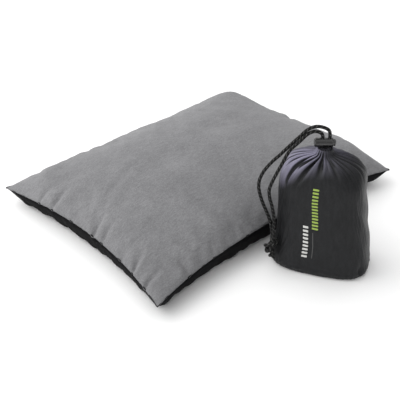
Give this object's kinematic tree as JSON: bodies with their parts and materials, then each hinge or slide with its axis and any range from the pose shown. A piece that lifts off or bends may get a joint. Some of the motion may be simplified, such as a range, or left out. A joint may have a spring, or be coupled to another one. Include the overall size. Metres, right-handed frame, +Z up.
{
  "type": "camp pillow with stuff sack",
  "caption": "Stuffed rectangular camp pillow, grey brushed top and black underside, with its gathered drawcord stuff sack and a push-button cord lock.",
  "frame": {"origin": "centre of the pillow's flat rest face, on the surface it lies on", "axes": "+X along the pillow's long side, +Y towards its back long side, away from the stuff sack, +Z up"},
  "size_m": [0.42, 0.4268, 0.1882],
  "materials": {
    "brushed_top_cloth": "brushed short-nap microfibre, soft sheen",
    "woven_under_cloth": "plain woven black nylon",
    "white_fibre": "loose hollow fibre",
    "grey_thread": "twisted polyester thread",
    "label_tape": "satin woven tape, blank",
    "sack_nylon": "thin coated nylon with a slight violet sheen",
    "black_tape": "woven binding tape",
    "printed_ink": "matte screen-printed ink",
    "black_thread": "twisted polyester thread",
    "black_cord": "round braided cord with a few light flecks",
    "lock_plastic": "moulded nylon, fine satin texture",
    "spring_steel": "drawn wire",
    "button_plastic": "moulded nylon, satin"
  },
  "bodies": {
    "pillow": {"pillow_top_panel": "brushed_top_cloth", "pillow_bottom_panel": "woven_under_cloth", "pillow_filling": "white_fibre", "pillow_edge_thread": "grey_thread", "pillow_closing_stitches": "grey_thread", "pillow_care_label": "label_tape"},
    "sack": {"sack_side_panel": "sack_nylon", "sack_base_panel": "sack_nylon", "sack_base_binding": "black_tape", "sack_seam_tape": "black_tape", "sack_packed_filling": "white_fibre", "sack_print": "printed_ink", "cord_channel": "sack_nylon", "channel_stitching": "black_thread", "mouth_drawcord": "black_cord", "drawcord_outer_strand": "black_cord", "drawcord_inner_strand": "black_cord", "drawcord_knot": "black_cord"},
    "cord_lock": {"lock_barrel": "lock_plastic", "lock_spring": "spring_steel"},
    "lock_button": {"lock_button": "button_plastic"}
  },
  "joints": [
    {"name": "sack_lift", "type": "slide", "parent": "pillow", "child": "sack", "axis": [0, 0, 1], "range_m": [0, 0.2]},
    {"name": "lock_slide", "type": "slide", "parent": "sack", "child": "cord_lock", "axis": [0, 0, 1], "range_m": [0, 0.003]},
    {"name": "button_press", "type": "slide", "parent": "cord_lock", "child": "lock_button", "axis": [-0.7431, 0.6691, 0], "range_m": [0, 0.0022], "stiffness_N_per_m": 300, "springref_m": -0.002, "deforming": ["lock_spring"]}
  ]
}
